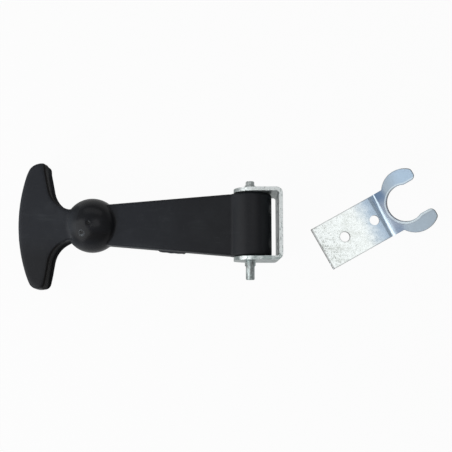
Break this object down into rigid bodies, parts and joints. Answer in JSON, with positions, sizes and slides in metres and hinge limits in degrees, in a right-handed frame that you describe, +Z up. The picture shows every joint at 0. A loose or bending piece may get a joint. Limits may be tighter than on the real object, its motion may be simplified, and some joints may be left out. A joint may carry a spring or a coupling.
{
  "type": "rubber t-handle draw latch with fork keeper",
  "caption": "Rubber T-handle draw strap with a ball, hinged on a staked pin in a folded bracket, with the bent fork keeper that catches the ball lying beside it.",
  "frame": {"origin": "centre of the bracket's mounting face", "axes": "+X out of the bracket's mounting face and along the strap; +Y along the hinge pin; +Z up from the bench that the latch and the keeper lie on"},
  "size_m": [0.2211, 0.0668, 0.0288],
  "materials": {
    "rubber": "moulded black rubber, matt with a soft sheen",
    "bracket_zinc": "zinc-plated steel strip with sheared edges",
    "pin_zinc": "zinc-plated wire, scuffed at the staked ends",
    "keeper_zinc": "bright zinc plating with a blue passivation tint"
  },
  "bodies": {
    "bracket_set": {"bracket": "bracket_zinc", "hinge_pin": "pin_zinc", "keeper": "keeper_zinc"},
    "strap": {"t_handle_strap": "rubber"}
  },
  "joints": [
    {"name": "strap_hinge", "type": "hinge", "parent": "bracket_set", "child": "strap", "pos_m": [-0.0164, 0, 0], "axis": [0, 1, 0], "range_deg": [-90, 90]}
  ]
}
